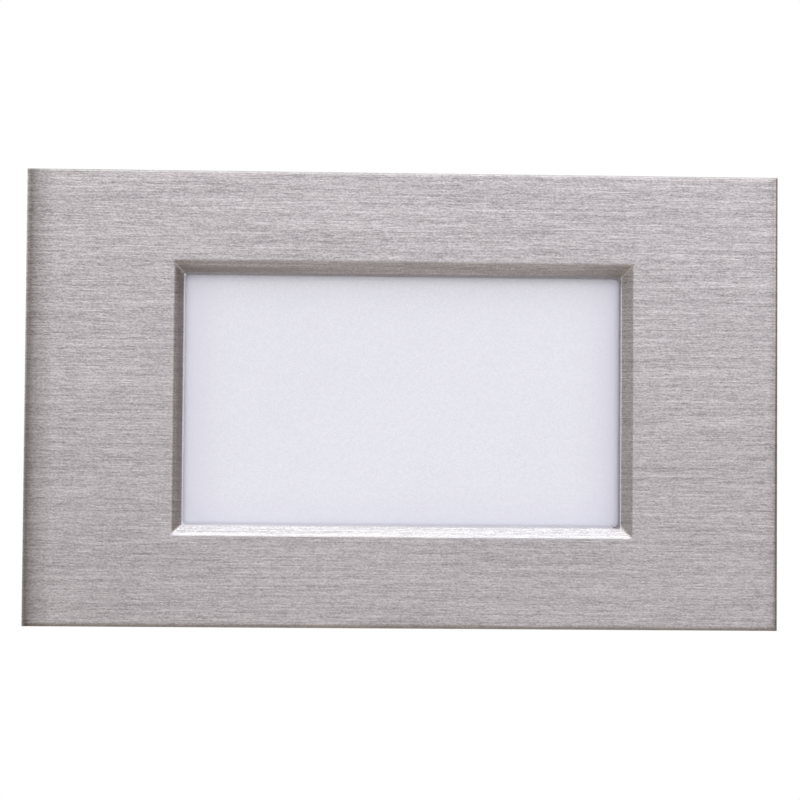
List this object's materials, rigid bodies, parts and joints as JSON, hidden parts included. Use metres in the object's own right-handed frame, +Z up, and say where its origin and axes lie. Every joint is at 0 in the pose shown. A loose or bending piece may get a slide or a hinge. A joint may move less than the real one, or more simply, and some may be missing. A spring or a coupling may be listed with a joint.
{
  "type": "recessed step light",
  "caption": "Recessed horizontal LED step light: brushed steel faceplate with a bevelled window over an opal lens, cast housing for a single-gang wall box.",
  "frame": {"origin": "wall plane, midway between the two box-screw slots of the yoke", "axes": "+X right and +Z up as seen from the room, +Y into the wall; the light faces -Y"},
  "size_m": [0.1206, 0.0524, 0.073],
  "materials": {
    "brushed_stainless": "horizontally brushed, satin",
    "opal_lens": "opal, satin",
    "black_foam": "closed-cell foam",
    "black_nylon": "moulded, matte",
    "nickel": "nickel plated",
    "zinc_steel": "zinc plated",
    "cast_aluminium": "as cast, fine grain",
    "silicone": "matte",
    "white_reflector": "gloss white",
    "white_board": "white solder mask",
    "led_package": "clear resin over phosphor",
    "thermal_pad": "soft, matte",
    "connector_nylon": "natural nylon",
    "red_insulation": "smooth",
    "black_insulation": "smooth",
    "black_rubber": "moulded, matte",
    "green_board": "solder mask",
    "ferrite": "sintered, dull",
    "winding_tape": "polyester tape",
    "film_case": "moulded case",
    "can_sleeve": "shrink sleeve",
    "blue_epoxy": "dipped epoxy",
    "black_epoxy": "moulded package",
    "fuse_body": "moulded case",
    "green_paint": "green plated",
    "brass": "plain"
  },
  "bodies": {
    "base": {"lens": "opal_lens", "mounting_yoke": "zinc_steel", "lens_frame": "zinc_steel", "frame_screws": "zinc_steel", "board_screws": "zinc_steel", "driver_screws": "zinc_steel", "cover_screws": "zinc_steel", "housing": "cast_aluminium", "rear_cover": "cast_aluminium", "lens_gasket": "silicone", "rear_gasket": "silicone", "reflector": "white_reflector", "led_board": "white_board", "leds": "led_package", "thermal_pad": "thermal_pad", "board_connector": "connector_nylon", "output_terminal": "connector_nylon", "lead_red": "red_insulation", "lead_black": "black_insulation", "lead_bushing": "black_rubber", "lead_grommet": "black_rubber", "driver_board": "green_board", "transformer_core": "ferrite", "transformer_bobbin": "black_nylon", "transformer_winding": "winding_tape", "input_capacitor": "film_case", "bulk_capacitor": "can_sleeve", "output_capacitor": "can_sleeve", "bridge_rectifier": "black_epoxy", "driver_chip": "black_epoxy", "input_fuse": "fuse_body", "varistor": "blue_epoxy", "choke": "ferrite", "ground_screw": "green_paint", "ground_washer": "brass"},
    "faceplate": {"faceplate": "brushed_stainless", "rim_gasket": "black_foam", "magnet_carrier_left": "black_nylon", "magnet_carrier_right": "black_nylon", "plate_magnets": "nickel"}
  },
  "joints": [
    {"name": "faceplate_pull", "type": "slide", "parent": "base", "child": "faceplate", "axis": [0, -1, 0], "range_m": [0, 0.025]}
  ]
}
